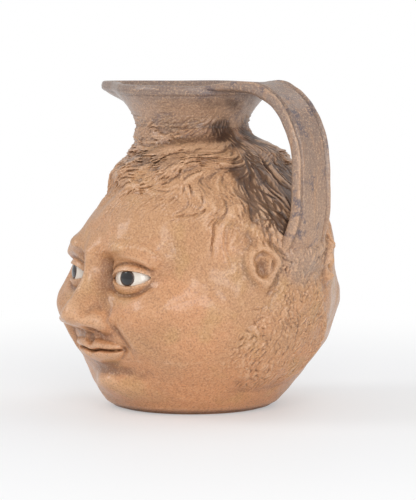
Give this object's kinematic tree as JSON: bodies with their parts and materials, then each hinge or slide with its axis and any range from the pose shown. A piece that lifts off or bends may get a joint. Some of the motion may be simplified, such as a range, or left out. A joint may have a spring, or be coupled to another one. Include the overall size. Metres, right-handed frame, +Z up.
{
  "type": "face jug",
  "caption": "Salt-glazed stoneware jug with a calm modelled face on each side, a rolled rim with a pouring lip and a ridged strap handle",
  "frame": {"origin": "centre of the flat foot on the neck's upright axis", "axes": "+Z up, the front face looks to -Y and the back face to +Y, the handle is at +X, the pouring lip at -X"},
  "size_m": [0.1704, 0.1988, 0.1938],
  "materials": {
    "thrown_clay": "satin",
    "strap_clay": "satin",
    "face_clay": "satin",
    "hair_clay": "satin",
    "eye_white": "gloss",
    "iris_dark": "gloss"
  },
  "bodies": {
    "root": {"jug_vessel": "thrown_clay", "strap_handle": "strap_clay", "front_face": "face_clay", "back_face": "face_clay", "front_nose": "face_clay", "back_nose": "face_clay", "front_upper_lip": "face_clay", "back_upper_lip": "face_clay", "front_lower_lip": "face_clay", "back_lower_lip": "face_clay", "front_eye_handle_side": "eye_white", "back_eye_handle_side": "eye_white", "front_iris_handle_side": "iris_dark", "back_iris_handle_side": "iris_dark", "front_upper_lid_handle_side": "face_clay", "back_upper_lid_handle_side": "face_clay", "front_lower_lid_handle_side": "face_clay", "back_lower_lid_handle_side": "face_clay", "front_ear_handle_side": "face_clay", "back_ear_handle_side": "face_clay", "front_hair_handle_side": "hair_clay", "back_hair_handle_side": "hair_clay", "front_eye_spout_side": "eye_white", "back_eye_spout_side": "eye_white", "front_iris_spout_side": "iris_dark", "back_iris_spout_side": "iris_dark", "front_upper_lid_spout_side": "face_clay", "back_upper_lid_spout_side": "face_clay", "front_lower_lid_spout_side": "face_clay", "back_lower_lid_spout_side": "face_clay", "front_ear_spout_side": "face_clay", "back_ear_spout_side": "face_clay", "front_hair_spout_side": "hair_clay", "back_hair_spout_side": "hair_clay", "side_hair_under_handle": "hair_clay", "side_hair_under_lip": "hair_clay"}
  },
  "joints": []
}
